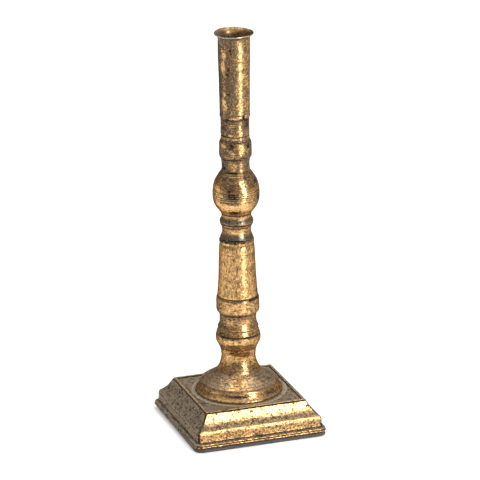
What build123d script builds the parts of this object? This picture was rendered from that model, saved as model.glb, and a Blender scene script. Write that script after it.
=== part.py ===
from build123d import *
import os

# Altar candlestick: turned brass sections stacked on an iron tie rod, over a moulded
# square brass base. Millimetres, +Z up, origin at the centre of the underside.

# ---- driving dimensions ----

# fits and clearances
rod_clearance = 0.15
joint_clearance = 0.05
joint_relief = 0.3
board_clearance = 0.4
screw_clearance = 0.25
thread_clearance = 0.05
disc_clearance = 0.03

# tie rod and its fittings
rod_r = 4.0
rod_end = 1.5
nut_flats = 13.0
nut_height = 6.5
top_nut_height = 4.0
nut_chamfer = 0.6
washer_r = 12.0
washer_thick = 1.6

# spigot that centres each section in the one above
spigot_r = 7.6
spigot_height = 2.4

# square base
base_width = 112.0
base_corner = 6.0
base_wall = 2.4
felt_thick = 3.0
felt_corner = 7.0
board_thick = 6.0
board_corner = 2.0
lip_gap = 0.5
lip_bead = 1.6
lip_upper_bead = 1.4
lip_upper_inset = 0.5
lip_round = 0.65
fascia_inset = 3.6
quirk_height = 0.8
fascia_height = 5.7
roll_reach = 1.9
roll_height = 3.2
cove_height = 11.2
cove_sag = 1.2
quirk_depth = 0.5
border_height = 1.1
border_width = 2.3
border_round = 0.4
plate_drop = 0.9
dish_gap = 0.9
dish_margin = 3.7
dish_height = 0.6
dish_round = 0.5

# screws through the board into the base's corner lugs
lug_inset = 5.1
lug_r = 5.0
screw_r = 1.85
screw_head_r = 3.8
screw_head_height = 2.2
screw_length = 15.0
slot_width = 0.9
slot_depth = 1.0
lug_hole_relief = 1.5

# locating ring on the base, inside the rim of the foot
register_height = 2.0
register_width = 3.0

# foot
foot_height = 37.7
foot_rim_r = 35.2
foot_edge_inset = 2.9
foot_edge_height = 6.5
foot_edge_land = 0.9
foot_cove_sag = 0.6
foot_cone_r = 18.0
foot_cone_height = 17.6
foot_throat_r = 15.2
foot_throat_height = 22.8
foot_neck_r = 13.8
foot_neck_height = 29.7
foot_top_r = 15.2
foot_wall = 3.0
foot_collar_height = 9.0

# twin ring above the foot
ring_height = 16.5
ring_foot_r = 15.4
ring_r = 18.15
ring_cove_r = 17.5
ring_cove_height = 4.4
ring_roll_r = 17.8
ring_lower_height = 11.2
ring_groove = 0.8
ring_groove_height = 0.7
ring_upper_r = 17.6
ring_top_r = 16.3

# spool between the ring and the column's band
spool_height = 12.5
spool_waist_r = 14.85
spool_waist_height = 6.2
spool_top_r = 15.3

# band at the foot of the column
column_band_height = 14.5
column_band_r = 17.3
column_band_foot_r = 15.9
column_band_top_r = 16.4
column_band_round = 2.6

# tapered column
column_height = 48.6
column_foot_r = 16.2
column_top_r = 14.05
column_wall = 3.2
column_groove_drop = 11.6
column_groove = 0.25
column_neck_drop = 5.8
column_neck_depth = 0.25
column_neck_width = 1.0
column_swell_height = 2.8
column_end = 5.0

# cove, bead and swelling knop
cove_collar_height = 10.4
cove_foot_r = 13.5
cove_waist_r = 11.6
cove_waist_height = 6.2
cove_top_r = 12.2
bead_height = 10.5
bead_r = 13.55
bead_roll = 7.4
bead_neck_r = 11.9
knop_height = 34.0
knop_foot_r = 12.3
knop_r = 18.8
knop_equator = 16.2
knop_shoulder_r = 13.0
knop_wall = 3.2
knop_end = 5.0
knop_hollow_inset = 1.0
knop_hollow_flat = 13.6

# neck, upper band and rough-cast collar
neck_height = 12.3
neck_foot_r = 12.8
neck_waist_r = 11.2
neck_waist_height = 4.9
neck_top_r = 12.1
upper_band_height = 14.8
upper_band_foot_r = 12.4
upper_band_r = 13.1
upper_band_top_r = 11.9
upper_band_round = 2.6
collar_height = 18.9
collar_r = 11.5
collar_groove_height = 4.0
collar_rib_count = 4
collar_rib = 0.3
collar_rib_pitch = 1.5
collar_land = 2.2

# candle socket
socket_height = 69.5
socket_foot_wall = 0.8
socket_foot_inset = 0.2
socket_foot_swell = 0.15
socket_wall = 1.7
socket_foot_roll = 2.4
socket_straight_height = 52.0
candle_bore_r = 11.2
seat_step = 1.4
seat_margin = 1.0
lip_reach = 4.5
lip_flare_height = 5.4
lip_edge = 1.8
lip_edge_inset = 0.7
lip_edge_round = 0.3
mouth_flare_height = 9.5
socket_floor_thick = 5.0

# ---- heights up the candlestick ----

lip_bottom = felt_thick + lip_gap
fascia_bottom = lip_bottom + lip_bead + lip_upper_bead + quirk_height
roll_bottom = fascia_bottom + fascia_height
cove_bottom = roll_bottom + roll_height
cove_top = cove_bottom + cove_height
border_top = cove_top + border_height
plate_top = border_top - plate_drop
dish_top = plate_top + dish_height
board_top = felt_thick + board_thick

foot_bottom = dish_top
ring_bottom = foot_bottom + foot_height
spool_bottom = ring_bottom + ring_height
column_band_bottom = spool_bottom + spool_height
column_bottom = column_band_bottom + column_band_height
cove_collar_bottom = column_bottom + column_height
bead_bottom = cove_collar_bottom + cove_collar_height
knop_bottom = bead_bottom + bead_height
neck_bottom = knop_bottom + knop_height
upper_band_bottom = neck_bottom + neck_height
collar_bottom = upper_band_bottom + upper_band_height
socket_bottom = collar_bottom + collar_height
socket_top = socket_bottom + socket_height
rod_top = socket_bottom + socket_floor_thick + top_nut_height + rod_end
candle_seat = rod_top + seat_margin

# ---- half widths of the base ----

base_half = base_width / 2
fascia_half = base_half - fascia_inset
cove_foot_half = fascia_half - roll_reach
dish_r = foot_rim_r + dish_margin
plate_half = dish_r + dish_gap
border_half = plate_half + border_width
cove_top_half = border_half + quirk_depth
cavity_half = fascia_half - base_wall
lug_centre = cove_top_half - lug_inset
plate_underside = plate_top - base_wall

# ---- radii that follow from others ----

rod_bore_r = rod_r + rod_clearance
foot_edge_r = foot_rim_r - foot_edge_inset
socket_foot_r = candle_bore_r + socket_foot_wall
socket_r = candle_bore_r + socket_wall
lip_r = candle_bore_r + lip_reach
seat_bore_r = candle_bore_r - seat_step

upright = (Align.CENTER, Align.CENTER, Align.MIN)


# ---- shared shapes ----

def turned(*side, spigot=True, recess=True):
    """A turned section: its side line, closed from head to foot along the rod's bore."""
    ends = [point for edge in side for point in (edge @ 0, edge @ 1)]
    foot = min(ends, key=lambda point: point.Y)
    head = max(ends, key=lambda point: point.Y)
    if spigot:
        spigot_top = head.Y + spigot_height
        closing = [(spigot_r, head.Y), (spigot_r, spigot_top), (rod_bore_r, spigot_top)]
    else:
        closing = [(rod_bore_r, head.Y)]
    if recess:
        recess_r = spigot_r + joint_clearance
        recess_top = foot.Y + spigot_height + joint_relief
        closing += [(rod_bore_r, recess_top), (recess_r, recess_top), (recess_r, foot.Y)]
    else:
        closing += [(rod_bore_r, foot.Y)]
    outline = list(side) + [Polyline((head.X, head.Y), *closing, (foot.X, foot.Y))]
    return revolve(Plane.XZ * make_face(outline), Axis.Z)


def ring_cut(*points):
    """A turned hollow with a straight-sided outline."""
    return revolve(Plane.XZ * make_face(Polyline(*points, close=True)), Axis.Z)


def moulded(*half_outline):
    """A square block that shows the same half outline on all four sides."""
    half_face = make_face(half_outline)
    full_face = half_face + mirror(half_face, Plane.YZ)
    run = extrude(Plane.XZ * full_face, base_width, both=True)
    return run & run.rotate(Axis.Z, 90)


def rounded_plate(half, corner, bottom, thick):
    outline = RectangleRounded(2 * half, 2 * half, corner)
    return Pos(0, 0, bottom) * extrude(outline, thick)


def corner_places():
    return [Pos(x * lug_centre, y * lug_centre, 0) for x in (-1, 1) for y in (-1, 1)]


def hex_nut(bottom, height):
    """A hexagon nut with its corners turned off at both ends."""
    across_corners_r = nut_flats / 3 ** 0.5
    prism = extrude(RegularPolygon(across_corners_r, 6), height)
    turned_blank = Cylinder(across_corners_r, height, align=upright)
    turned_blank = chamfer(turned_blank.edges().filter_by(GeomType.CIRCLE), nut_chamfer)
    hole = Cylinder(rod_r + thread_clearance, height, align=upright)
    return Pos(0, 0, bottom) * ((prism & turned_blank) - hole)


# ---- square base ----

def make_felt_pad():
    return rounded_plate(base_half, felt_corner, 0, felt_thick)


def screw_solid(grow):
    """A countersunk screw, head down on the board's underside, larger all round by grow."""
    head_top_z = felt_thick + screw_head_height
    shank_top = felt_thick + screw_length
    outline = Polyline(
        (0, felt_thick),
        (screw_head_r + grow, felt_thick),
        (screw_r + grow, head_top_z),
        (screw_r + grow, shank_top),
        (0, shank_top),
        close=True,
    )
    return revolve(Plane.XZ * make_face(outline), Axis.Z)


def make_base_board():
    board = rounded_plate(cavity_half - board_clearance, board_corner, felt_thick, board_thick)
    for place in corner_places():
        board -= place * screw_solid(screw_clearance)
    return board


def make_board_screws():
    slot = Pos(0, 0, felt_thick) * Box(2 * screw_head_r, slot_width, 2 * slot_depth)
    screw = screw_solid(0) - slot
    return [place * screw for place in corner_places()]


def make_base_shell():
    cove_foot = (cove_foot_half, cove_bottom)
    body = moulded(
        Line((0, lip_bottom), (fascia_half, lip_bottom)),
        Line((fascia_half, lip_bottom), (fascia_half, roll_bottom)),
        TangentArc((fascia_half, roll_bottom), cove_foot, tangent=(0, 1)),
        SagittaArc(cove_foot, (cove_top_half, cove_top), -cove_sag),
        Polyline(
            (cove_top_half, cove_top),
            (border_half, cove_top),
            (border_half, plate_top),
            (0, plate_top),
            (0, lip_bottom),
        ),
    )
    on_plate = Pos(0, 0, plate_top)
    border = on_plate * Box(2 * border_half, 2 * border_half, plate_drop, align=upright)
    border -= on_plate * Box(2 * plate_half, 2 * plate_half, plate_drop, align=upright)
    border = fillet(border.edges().group_by(Axis.Z)[-1], border_round)

    lower_bead = rounded_plate(base_half, base_corner, lip_bottom, lip_bead)
    lower_bead = fillet(lower_bead.edges().filter_by(Plane.XY), lip_round)
    upper_half = base_half - lip_upper_inset
    upper_corner = base_corner - lip_upper_inset
    upper_bead = rounded_plate(upper_half, upper_corner, lip_bottom + lip_bead, lip_upper_bead)
    upper_bead = fillet(upper_bead.edges().filter_by(Plane.XY), lip_round)

    cavity = moulded(
        Polyline(
            (0, lip_bottom),
            (cavity_half, lip_bottom),
            (cavity_half, roll_bottom),
            (cove_foot_half - base_wall, cove_bottom - base_wall),
            (cove_top_half - base_wall, plate_underside),
            (0, plate_underside),
            close=True,
        )
    )
    lug_height = plate_underside - board_top
    lug_hole_height = felt_thick + screw_length + lug_hole_relief - board_top
    lug_base = Pos(0, 0, board_top)
    lug = lug_base * Cylinder(lug_r, lug_height, align=upright)
    lug_hole = lug_base * Cylinder(screw_r + thread_clearance, lug_hole_height, align=upright)

    shell = body + border + lower_bead + upper_bead - cavity
    for place in corner_places():
        shell += (place * lug) & body
    for place in corner_places():
        shell -= place * lug_hole

    dish = on_plate * Cylinder(dish_r, dish_height, align=upright)
    dish = fillet(dish.edges().group_by(Axis.Z)[-1], dish_round)
    register_r = foot_rim_r - foot_wall - joint_clearance
    shell += dish
    shell += ring_cut(
        (register_r - register_width, dish_top),
        (register_r, dish_top),
        (register_r, dish_top + register_height),
        (register_r - register_width, dish_top + register_height),
    )
    return shell - Cylinder(rod_bore_r, 2 * socket_top)


# ---- turned sections, from the foot up ----

def make_stem_foot():
    edge = foot_bottom + foot_edge_height
    cone = foot_bottom + foot_cone_height
    throat = foot_bottom + foot_throat_height
    neck = foot_bottom + foot_neck_height
    top = foot_bottom + foot_height
    flare = Line((foot_edge_r - foot_edge_land, edge + foot_edge_land), (foot_cone_r, cone))
    foot = turned(
        SagittaArc((foot_rim_r, foot_bottom), (foot_edge_r, edge), -foot_cove_sag),
        Line((foot_edge_r, edge), (foot_edge_r - foot_edge_land, edge + foot_edge_land)),
        flare,
        Spline(
            (foot_cone_r, cone),
            (foot_throat_r, throat),
            (foot_neck_r, neck),
            tangents=[flare % 1, (0, 1)],
        ),
        TangentArc((foot_neck_r, neck), (foot_top_r, top), tangent=(0, 1)),
        recess=False,
    )
    hollow_top = top - foot_collar_height
    hollow = ring_cut(
        (0, foot_bottom),
        (foot_rim_r - foot_wall, foot_bottom),
        (foot_rim_r - foot_wall, foot_bottom + register_height),
        (foot_edge_r - foot_wall - foot_edge_land, edge - foot_edge_land),
        (foot_cone_r - foot_wall, cone - foot_wall / 2),
        (foot_neck_r - foot_wall, cone + foot_wall),
        (foot_neck_r - foot_wall, hollow_top),
        (0, hollow_top),
    )
    return foot - hollow


def make_ring_bead():
    groove_bottom = ring_bottom + ring_lower_height
    groove_top = groove_bottom + ring_groove_height
    cove_end = (ring_cove_r, ring_bottom + ring_cove_height)
    roll_end = (ring_roll_r, groove_bottom)
    upper_start = (ring_upper_r, groove_top)
    return turned(
        Spline((ring_foot_r, ring_bottom), cove_end, tangents=[(0.25, 1), (0.35, 1)]),
        ThreePointArc(cove_end, (ring_r, (cove_end[1] + groove_bottom) / 2), roll_end),
        Polyline(roll_end, (ring_upper_r - ring_groove, groove_bottom), upper_start),
        Spline(upper_start, (ring_top_r, ring_bottom + ring_height), tangents=[(-0.3, 1), (-0.1, 1)]),
    )


def make_lower_spool():
    waist = (spool_waist_r, spool_bottom + spool_waist_height)
    return turned(
        Spline((ring_top_r, spool_bottom), waist, tangents=[(-0.1, 1), (0, 1)]),
        TangentArc(waist, (spool_top_r, spool_bottom + spool_height), tangent=(0, 1)),
    )


def rounded_band(bottom, height, foot_r, band_r, top_r, rounding):
    """A straight band whose two edges roll in to smaller radii."""
    top = bottom + height
    return turned(
        TangentArc((band_r, bottom + rounding), (foot_r, bottom), tangent=(0, -1)),
        Line((band_r, bottom + rounding), (band_r, top - rounding)),
        TangentArc((band_r, top - rounding), (top_r, top), tangent=(0, 1)),
    )


def make_column_band():
    return rounded_band(
        column_band_bottom,
        column_band_height,
        column_band_foot_r,
        column_band_r,
        column_band_top_r,
        column_band_round,
    )


def make_tapered_column():
    top = column_bottom + column_height
    neck = top - column_neck_drop
    groove = top - column_groove_drop
    taper = (column_foot_r - column_top_r) / (neck - column_bottom)
    groove_r = column_top_r + taper * (neck - groove)
    neck_r = column_top_r - column_neck_depth
    shaft_foot = (column_foot_r, column_bottom)
    groove_foot = (groove_r + taper * column_groove, groove - column_groove)
    groove_head = (groove_r - taper * column_groove, groove + column_groove)
    shaft_head = (column_top_r, neck)
    swell = (column_top_r, neck + column_swell_height)
    column = turned(
        Polyline(shaft_foot, groove_foot, (groove_r - column_groove, groove), groove_head, shaft_head),
        Spline(shaft_head, (neck_r, neck + column_neck_width), swell, (cove_foot_r, top)),
    )
    hollow_bottom = column_bottom + column_end
    hollow_top = top - column_end
    hollow = ring_cut(
        (spigot_r, hollow_bottom),
        (column_foot_r - column_wall, hollow_bottom),
        (neck_r - column_wall, hollow_top),
        (spigot_r, hollow_top),
    )
    return column - hollow


def make_cove_collar():
    waist = (cove_waist_r, cove_collar_bottom + cove_waist_height)
    top = cove_collar_bottom + cove_collar_height
    return turned(ThreePointArc((cove_foot_r, cove_collar_bottom), waist, (cove_top_r, top)))


def make_bead_ring():
    top = bead_bottom + bead_height
    roll_top = bead_bottom + bead_roll
    roll_crest = (bead_r, bead_bottom + bead_roll / 2)
    return turned(
        ThreePointArc((cove_top_r, bead_bottom), roll_crest, (bead_neck_r, roll_top)),
        TangentArc((bead_neck_r, roll_top), (knop_foot_r, top), tangent=(0, 1)),
    )


def make_ball_knop():
    top = knop_bottom + knop_height
    equator = (knop_r, knop_bottom + knop_equator)
    knop = turned(
        Spline((knop_foot_r, knop_bottom), equator, tangents=[(0.7, 1.1), (0, 1)]),
        Spline(equator, (knop_shoulder_r, top), tangents=[(0, 1), (-0.75, 1)]),
    )
    hollow_r = knop_r - knop_wall
    low = knop_bottom + knop_end
    high = top - knop_end
    hollow = ring_cut(
        (spigot_r, low),
        (knop_foot_r - knop_hollow_inset, low),
        (hollow_r, equator[1] - knop_hollow_flat / 2),
        (hollow_r, equator[1] + knop_hollow_flat / 2),
        (knop_shoulder_r - knop_hollow_inset, high),
        (spigot_r, high),
    )
    return knop - hollow


def make_neck_spool():
    waist = (neck_waist_r, neck_bottom + neck_waist_height)
    return turned(
        Spline((neck_foot_r, neck_bottom), waist, tangents=[(-0.8, 1), (0, 1)]),
        TangentArc(waist, (neck_top_r, neck_bottom + neck_height), tangent=(0, 1)),
    )


def make_upper_band():
    return rounded_band(
        upper_band_bottom,
        upper_band_height,
        upper_band_foot_r,
        upper_band_r,
        upper_band_top_r,
        upper_band_round,
    )


def make_rough_collar():
    """Plain below with one groove, then a stack of small ribs under the socket."""
    top = collar_bottom + collar_height
    groove = collar_bottom + collar_groove_height
    ribs_bottom = top - collar_land - collar_rib_count * collar_rib_pitch
    side = [
        Polyline(
            (upper_band_top_r, collar_bottom),
            (collar_r, groove - collar_rib),
            (collar_r - collar_rib, groove),
            (collar_r, groove + collar_rib),
            (collar_r, ribs_bottom),
        )
    ]
    for index in range(collar_rib_count):
        rib_bottom = ribs_bottom + index * collar_rib_pitch
        rib_top = rib_bottom + collar_rib_pitch
        crest = (collar_r + collar_rib, (rib_bottom + rib_top) / 2)
        side.append(ThreePointArc((collar_r, rib_bottom), crest, (collar_r, rib_top)))
    side.append(Line((collar_r, top - collar_land), (collar_r, top)))
    return turned(*side)


# ---- candle socket and the tie rod ----

def make_candle_socket():
    roll_top = socket_bottom + socket_foot_roll
    straight = socket_bottom + socket_straight_height
    flare = socket_top - lip_flare_height
    mouth = socket_top - mouth_flare_height
    under_lip = (lip_r, socket_top - lip_edge)
    over_lip = (lip_r - lip_edge_inset, socket_top)
    tube_foot = (socket_foot_r - socket_foot_inset, socket_bottom)
    outline = [
        ThreePointArc(
            tube_foot,
            (socket_foot_r + socket_foot_swell, (socket_bottom + roll_top) / 2),
            (socket_foot_r, roll_top),
        ),
        Polyline((socket_foot_r, roll_top), (socket_r, straight), (socket_r, flare)),
        TangentArc((socket_r, flare), under_lip, tangent=(0, 1)),
        SagittaArc(under_lip, over_lip, -lip_edge_round),
        TangentArc((candle_bore_r, mouth), over_lip, tangent=(0, 1)),
        Polyline(
            (candle_bore_r, mouth),
            (candle_bore_r, candle_seat),
            (seat_bore_r, candle_seat),
            (seat_bore_r, socket_bottom),
            tube_foot,
        ),
    ]
    return revolve(Plane.XZ * make_face(outline), Axis.Z)


def make_socket_floor():
    disc_r = seat_bore_r - disc_clearance
    recess_r = spigot_r + joint_clearance
    recess_height = spigot_height + joint_relief
    return ring_cut(
        (rod_bore_r, socket_bottom + recess_height),
        (recess_r, socket_bottom + recess_height),
        (recess_r, socket_bottom),
        (disc_r, socket_bottom),
        (disc_r, socket_bottom + socket_floor_thick),
        (rod_bore_r, socket_bottom + socket_floor_thick),
    )


def make_tie_rod():
    bottom = plate_underside - washer_thick - nut_height - rod_end
    rod = Cylinder(rod_r, rod_top - bottom, align=upright)
    rod = chamfer(rod.edges().filter_by(GeomType.CIRCLE), nut_chamfer)
    return Pos(0, 0, bottom) * rod


def make_rod_washer():
    bottom = plate_underside - washer_thick
    return ring_cut(
        (rod_bore_r, bottom),
        (washer_r, bottom),
        (washer_r, plate_underside),
        (rod_bore_r, plate_underside),
    )


def make_rod_nut():
    return hex_nut(plate_underside - washer_thick - nut_height, nut_height)


def make_top_nut():
    return hex_nut(socket_bottom + socket_floor_thick, top_nut_height)


# ---- every piece under its own name ----

makers = {
    "felt_pad": make_felt_pad,
    "base_board": make_base_board,
    "board_screws": make_board_screws,
    "base_shell": make_base_shell,
    "stem_foot": make_stem_foot,
    "ring_bead": make_ring_bead,
    "lower_spool": make_lower_spool,
    "column_band": make_column_band,
    "tapered_column": make_tapered_column,
    "cove_collar": make_cove_collar,
    "bead_ring": make_bead_ring,
    "ball_knop": make_ball_knop,
    "neck_spool": make_neck_spool,
    "upper_band": make_upper_band,
    "rough_collar": make_rough_collar,
    "candle_socket": make_candle_socket,
    "socket_floor": make_socket_floor,
    "tie_rod": make_tie_rod,
    "rod_washer": make_rod_washer,
    "rod_nut": make_rod_nut,
    "top_nut": make_top_nut,
}

os.makedirs("parts", exist_ok=True)
for name, make in makers.items():
    piece = make()
    solids = piece if isinstance(piece, list) else [piece]
    export_step(Compound(children=solids, label=name), f"parts/{name}.step")
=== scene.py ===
import math
import random

import bpy
import numpy as np
from mathutils import Matrix, Vector


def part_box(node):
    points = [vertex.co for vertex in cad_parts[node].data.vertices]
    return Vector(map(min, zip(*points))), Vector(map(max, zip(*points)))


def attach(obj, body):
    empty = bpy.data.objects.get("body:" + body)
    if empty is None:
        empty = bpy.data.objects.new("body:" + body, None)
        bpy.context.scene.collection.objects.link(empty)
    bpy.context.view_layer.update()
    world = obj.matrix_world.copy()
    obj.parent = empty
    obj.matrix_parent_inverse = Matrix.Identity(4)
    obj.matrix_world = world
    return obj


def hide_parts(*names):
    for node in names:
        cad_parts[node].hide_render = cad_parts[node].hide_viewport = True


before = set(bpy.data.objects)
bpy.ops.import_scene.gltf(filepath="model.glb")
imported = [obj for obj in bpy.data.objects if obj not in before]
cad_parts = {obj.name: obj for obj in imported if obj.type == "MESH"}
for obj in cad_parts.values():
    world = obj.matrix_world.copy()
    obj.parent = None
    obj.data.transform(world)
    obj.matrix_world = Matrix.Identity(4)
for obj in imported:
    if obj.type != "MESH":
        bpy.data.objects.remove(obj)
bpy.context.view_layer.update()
mm = 0.001

# camera

camera = {
    "azimuth": -18.7,      # degrees round from the front, minus is to the left
    "elevation": 19.3,
    "roll": -0.86,
    "distance": 3.193,
    "aimHeight": 0.1552,
    "aimRight": 0.0026,
    "lens": 300,
}


def placeCamera():
    a, e, roll = (math.radians(camera[key]) for key in ("azimuth", "elevation", "roll"))
    back = Vector((math.sin(a) * math.cos(e), -math.cos(a) * math.cos(e), math.sin(e)))
    level = Vector((math.cos(a), math.sin(a), 0))
    up = back.cross(level)
    right = math.cos(roll) * level + math.sin(roll) * up
    top = math.cos(roll) * up - math.sin(roll) * level
    aim = Vector((0, 0, camera["aimHeight"])) + level * camera["aimRight"]
    lensData = bpy.data.cameras.new("camera")
    lensData.lens = camera["lens"]
    lensData.clip_end = 20
    rig = bpy.data.objects.new("camera", lensData)
    turn = Matrix((right, top, back)).transposed().to_4x4()
    rig.matrix_world = Matrix.Translation(aim + back * camera["distance"]) @ turn
    bpy.context.scene.collection.objects.link(rig)
    bpy.context.scene.camera = rig


# studio

studio = {
    "floorSize": 9.0,
    "floorTone": (0.94, 0.94, 0.94),
    "floorGlow": 0.27,                 # a lit table, so the shadow stays faint
    "lowSky": (0.26, 0.25, 0.24),      # towards the walls
    "highSky": (0.72, 0.71, 0.70),     # a soft ceiling
    "skyFrom": 0.25,                   # where the sky starts and stops growing lighter
    "skyTo": 0.9,
    "lampAim": 0.16,
}

# where each lamp stands round the object, how high and far, its size in metres and its watts
lamps = {
    "stripLamp": {
        "azimuth": 21, "height": 0.55, "distance": 1.25, "wide": 0.24, "tall": 1.25, "watts": 13.5,
    },
    "backLamp": {
        "azimuth": 160, "height": 2.2, "distance": 0.9, "wide": 1.8, "tall": 1.8, "watts": 28,
    },
}


def placeStudio():
    half = studio["floorSize"] / 2
    corners = [(-half, -half, 0), (half, -half, 0), (half, half, 0), (-half, half, 0)]
    mesh = bpy.data.meshes.new("floor")
    mesh.from_pydata(corners, [], [(0, 1, 2, 3)])
    floor = bpy.data.objects.new("floor", mesh)
    bpy.context.scene.collection.objects.link(floor)
    paper = bpy.data.materials.new("paleFloor")
    paper.use_nodes = True
    shader = paper.node_tree.nodes["Principled BSDF"]
    shader.inputs["Base Color"].default_value = (*studio["floorTone"], 1)
    shader.inputs["Roughness"].default_value = 0.9
    shader.inputs["Emission Color"].default_value = (1, 1, 1, 1)
    shader.inputs["Emission Strength"].default_value = studio["floorGlow"]
    mesh.materials.append(paper)

    world = bpy.data.worlds.new("studioSky")
    world.use_nodes = True
    tree = world.node_tree
    place = tree.nodes.new("ShaderNodeTexCoord")
    parts = tree.nodes.new("ShaderNodeSeparateXYZ")
    rise = tree.nodes.new("ShaderNodeMapRange")
    rise.inputs["From Min"].default_value = studio["skyFrom"]
    rise.inputs["From Max"].default_value = studio["skyTo"]
    tones = tree.nodes.new("ShaderNodeMix")
    tones.data_type = "RGBA"
    tones.inputs[6].default_value = (*studio["lowSky"], 1)
    tones.inputs[7].default_value = (*studio["highSky"], 1)
    tree.links.new(place.outputs["Generated"], parts.inputs[0])
    tree.links.new(parts.outputs["Z"], rise.inputs["Value"])
    tree.links.new(rise.outputs[0], tones.inputs[0])
    tree.links.new(tones.outputs[2], tree.nodes["Background"].inputs["Color"])
    bpy.context.scene.world = world
    bpy.context.scene.view_settings.view_transform = "Standard"

    target = Vector((0, 0, studio["lampAim"]))
    for name, lamp in lamps.items():
        data = bpy.data.lights.new(name, "AREA")
        data.shape = "RECTANGLE"
        data.size = lamp["wide"]
        data.size_y = lamp["tall"]
        data.energy = lamp["watts"]
        placed = bpy.data.objects.new(name, data)
        a, away = math.radians(lamp["azimuth"]), lamp["distance"]
        placed.location = (away * math.sin(a), -away * math.cos(a), lamp["height"])
        placed.rotation_euler = (target - placed.location).to_track_quat("-Z", "Y").to_euler()
        bpy.context.scene.collection.objects.link(placed)


placeCamera()
placeStudio()
print("camera and studio placed")


# node helpers

def plug(tree, value, socket):
    if isinstance(value, bpy.types.NodeSocket):
        tree.links.new(value, socket)
    elif socket.type == "RGBA" and len(value) == 3:
        socket.default_value = (*value, 1)
    else:
        socket.default_value = value


def addNode(tree, kind, sockets=None, **settings):
    made = tree.nodes.new("ShaderNode" + kind)
    for key, value in settings.items():
        setattr(made, key, value)
    for key, value in (sockets or {}).items():
        plug(tree, value, made.inputs[key])
    return made


def maths(tree, operation, first, second):
    return addNode(tree, "Math", {0: first, 1: second}, operation=operation).outputs[0]


def times(tree, first, second):
    return maths(tree, "MULTIPLY", first, second)


def plus(tree, first, second):
    return maths(tree, "ADD", first, second)


def minus(tree, first, second):
    return maths(tree, "SUBTRACT", first, second)


def blendTone(tree, amount, under, over):
    made = addNode(tree, "Mix", data_type="RGBA")
    for index, value in ((0, amount), (6, under), (7, over)):
        plug(tree, value, made.inputs[index])
    return made.outputs[2]


def fade(tree, value, low, high, outLow=0.0, outHigh=1.0):
    values = {
        "Value": value, "From Min": low, "From Max": high, "To Min": outLow, "To Max": outHigh,
    }
    return addNode(tree, "MapRange", values, interpolation_type="SMOOTHSTEP").outputs[0]


def speckle(tree, place, perMetre, detail=3.0, rough=0.6, stretch=None):
    if stretch:
        place = addNode(tree, "Mapping", {"Vector": place, "Scale": stretch}).outputs[0]
    sockets = {"Vector": place, "Scale": perMetre, "Detail": detail, "Roughness": rough}
    return addNode(tree, "TexNoise", sockets).outputs["Fac"]


def objectPlace(tree):
    return addNode(tree, "TexCoord").outputs["Object"]


def newMaterial(name):
    made = bpy.data.materials.new(name)
    made.use_nodes = True
    return made, made.node_tree, made.node_tree.nodes["Principled BSDF"]


def addBump(tree, shader, height, strength, distance):
    bump = addNode(tree, "Bump", {"Height": height, "Strength": strength, "Distance": distance})
    plug(tree, bump.outputs[0], shader.inputs["Normal"])


def newGroup(name, inputs, outputs):
    group = bpy.data.node_groups.new(name, "ShaderNodeTree")
    for label, kind, start in inputs:
        made = group.interface.new_socket(label, in_out="INPUT", socket_type="NodeSocket" + kind)
        made.default_value = start
    for label, kind in outputs:
        group.interface.new_socket(label, in_out="OUTPUT", socket_type="NodeSocket" + kind)
    given = group.nodes.new("NodeGroupInput").outputs
    return group, given, group.nodes.new("NodeGroupOutput").inputs


def useGroup(tree, group, **values):
    made = tree.nodes.new("ShaderNodeGroup")
    made.node_tree = group
    for key, value in values.items():
        plug(tree, value, made.inputs[key])
    return made.outputs


# shared surface effects

def makeCastPits():
    # small casting holes over a fine grain
    inputs = [("perMetre", "Float", 500.0), ("share", "Float", 0.4), ("grain", "Float", 0.5)]
    group, given, out = newGroup("castPits", inputs, [("holes", "Float"), ("height", "Float")])
    place = objectPlace(group)
    warp = addNode(group, "TexNoise", {"Vector": place, "Scale": 900.0, "Detail": 2.0})
    bend = {0: warp.outputs["Color"], 1: (0.0012, 0.0012, 0.0012), 2: place}
    bent = addNode(group, "VectorMath", bend, operation="MULTIPLY_ADD").outputs[0]
    cells = addNode(group, "TexVoronoi", {"Vector": bent, "Scale": given["perMetre"]})
    pick = addNode(group, "SeparateColor", {0: cells.outputs["Color"]}).outputs[0]
    chosen = maths(group, "LESS_THAN", pick, given["share"])
    hole = times(group, fade(group, cells.outputs["Distance"], 0.34, 0.16), chosen)
    grain = speckle(group, place, 1500.0, 4.0, 0.7)
    low = times(group, hole, -1.0)
    group.links.new(hole, out["holes"])
    group.links.new(plus(group, low, times(group, grain, given["grain"])), out["height"])
    return group


def makeTurnedLines():
    # broken lines that run round the piece, left by the turning tool
    inputs = [("perMetre", "Float", 900.0), ("breaks", "Float", 60.0)]
    group, given, out = newGroup("turnedLines", inputs, [("lines", "Float")])
    place = objectPlace(group)
    upright = addNode(group, "SeparateXYZ", {0: place}).outputs["Z"]
    wander = speckle(group, place, given["breaks"], 2.0)
    bent = plus(group, upright, times(group, wander, 0.0012))
    sockets = {"W": bent, "Scale": given["perMetre"], "Detail": 2.0}
    line = addNode(group, "TexNoise", sockets, noise_dimensions="1D")
    keep = fade(group, speckle(group, place, 140.0), 0.38, 0.62)
    lines = fade(group, line.outputs["Fac"], 0.35, 0.65)
    group.links.new(times(group, lines, keep), out["lines"])
    return group


def makeSettledFilm():
    # the dull grey film that lies on faces that look up
    group, given, out = newGroup("settledFilm", [("amount", "Float", 0.5)], [("mask", "Float")])
    normal = addNode(group, "NewGeometry").outputs["Normal"]
    upward = fade(group, addNode(group, "SeparateXYZ", {0: normal}).outputs["Z"], 0.35, 0.95)
    broken = fade(group, speckle(group, objectPlace(group), 330.0, 6.0, 0.75), 0.38, 0.62, 0.1, 1.0)
    mask = times(group, times(group, upward, broken), given["amount"])
    group.links.new(mask, out["mask"])
    return group


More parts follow.
